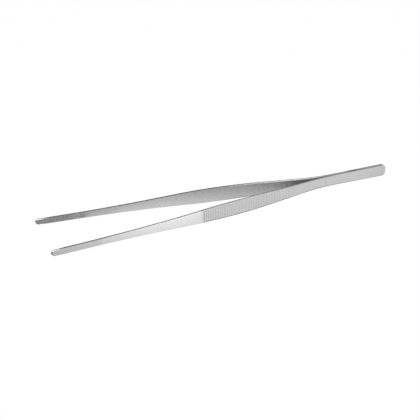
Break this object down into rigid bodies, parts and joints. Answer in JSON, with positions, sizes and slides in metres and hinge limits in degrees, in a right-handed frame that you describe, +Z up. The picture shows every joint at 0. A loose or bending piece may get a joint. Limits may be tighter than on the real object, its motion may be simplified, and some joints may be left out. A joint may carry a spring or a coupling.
{
  "type": "thumb forceps",
  "caption": "Long spring-action thumb forceps: tapered steel arms joined at a flat heel, with a fluted finger grip and finely serrated tips.",
  "frame": {"origin": "middle of the whole length and of the spread, on the surface that the forceps lies on", "axes": "+X along the forceps from the tips to the heel, +Z up across the width of the blades, +Y from the left blade to the right blade"},
  "size_m": [0.3, 0.0568, 0.0121],
  "materials": {
    "satin_steel": "satin ground stainless steel, fine grain, polished along the broken edges"
  },
  "bodies": {
    "root": {"left_blade": "satin_steel", "right_blade": "satin_steel"}
  },
  "joints": []
}
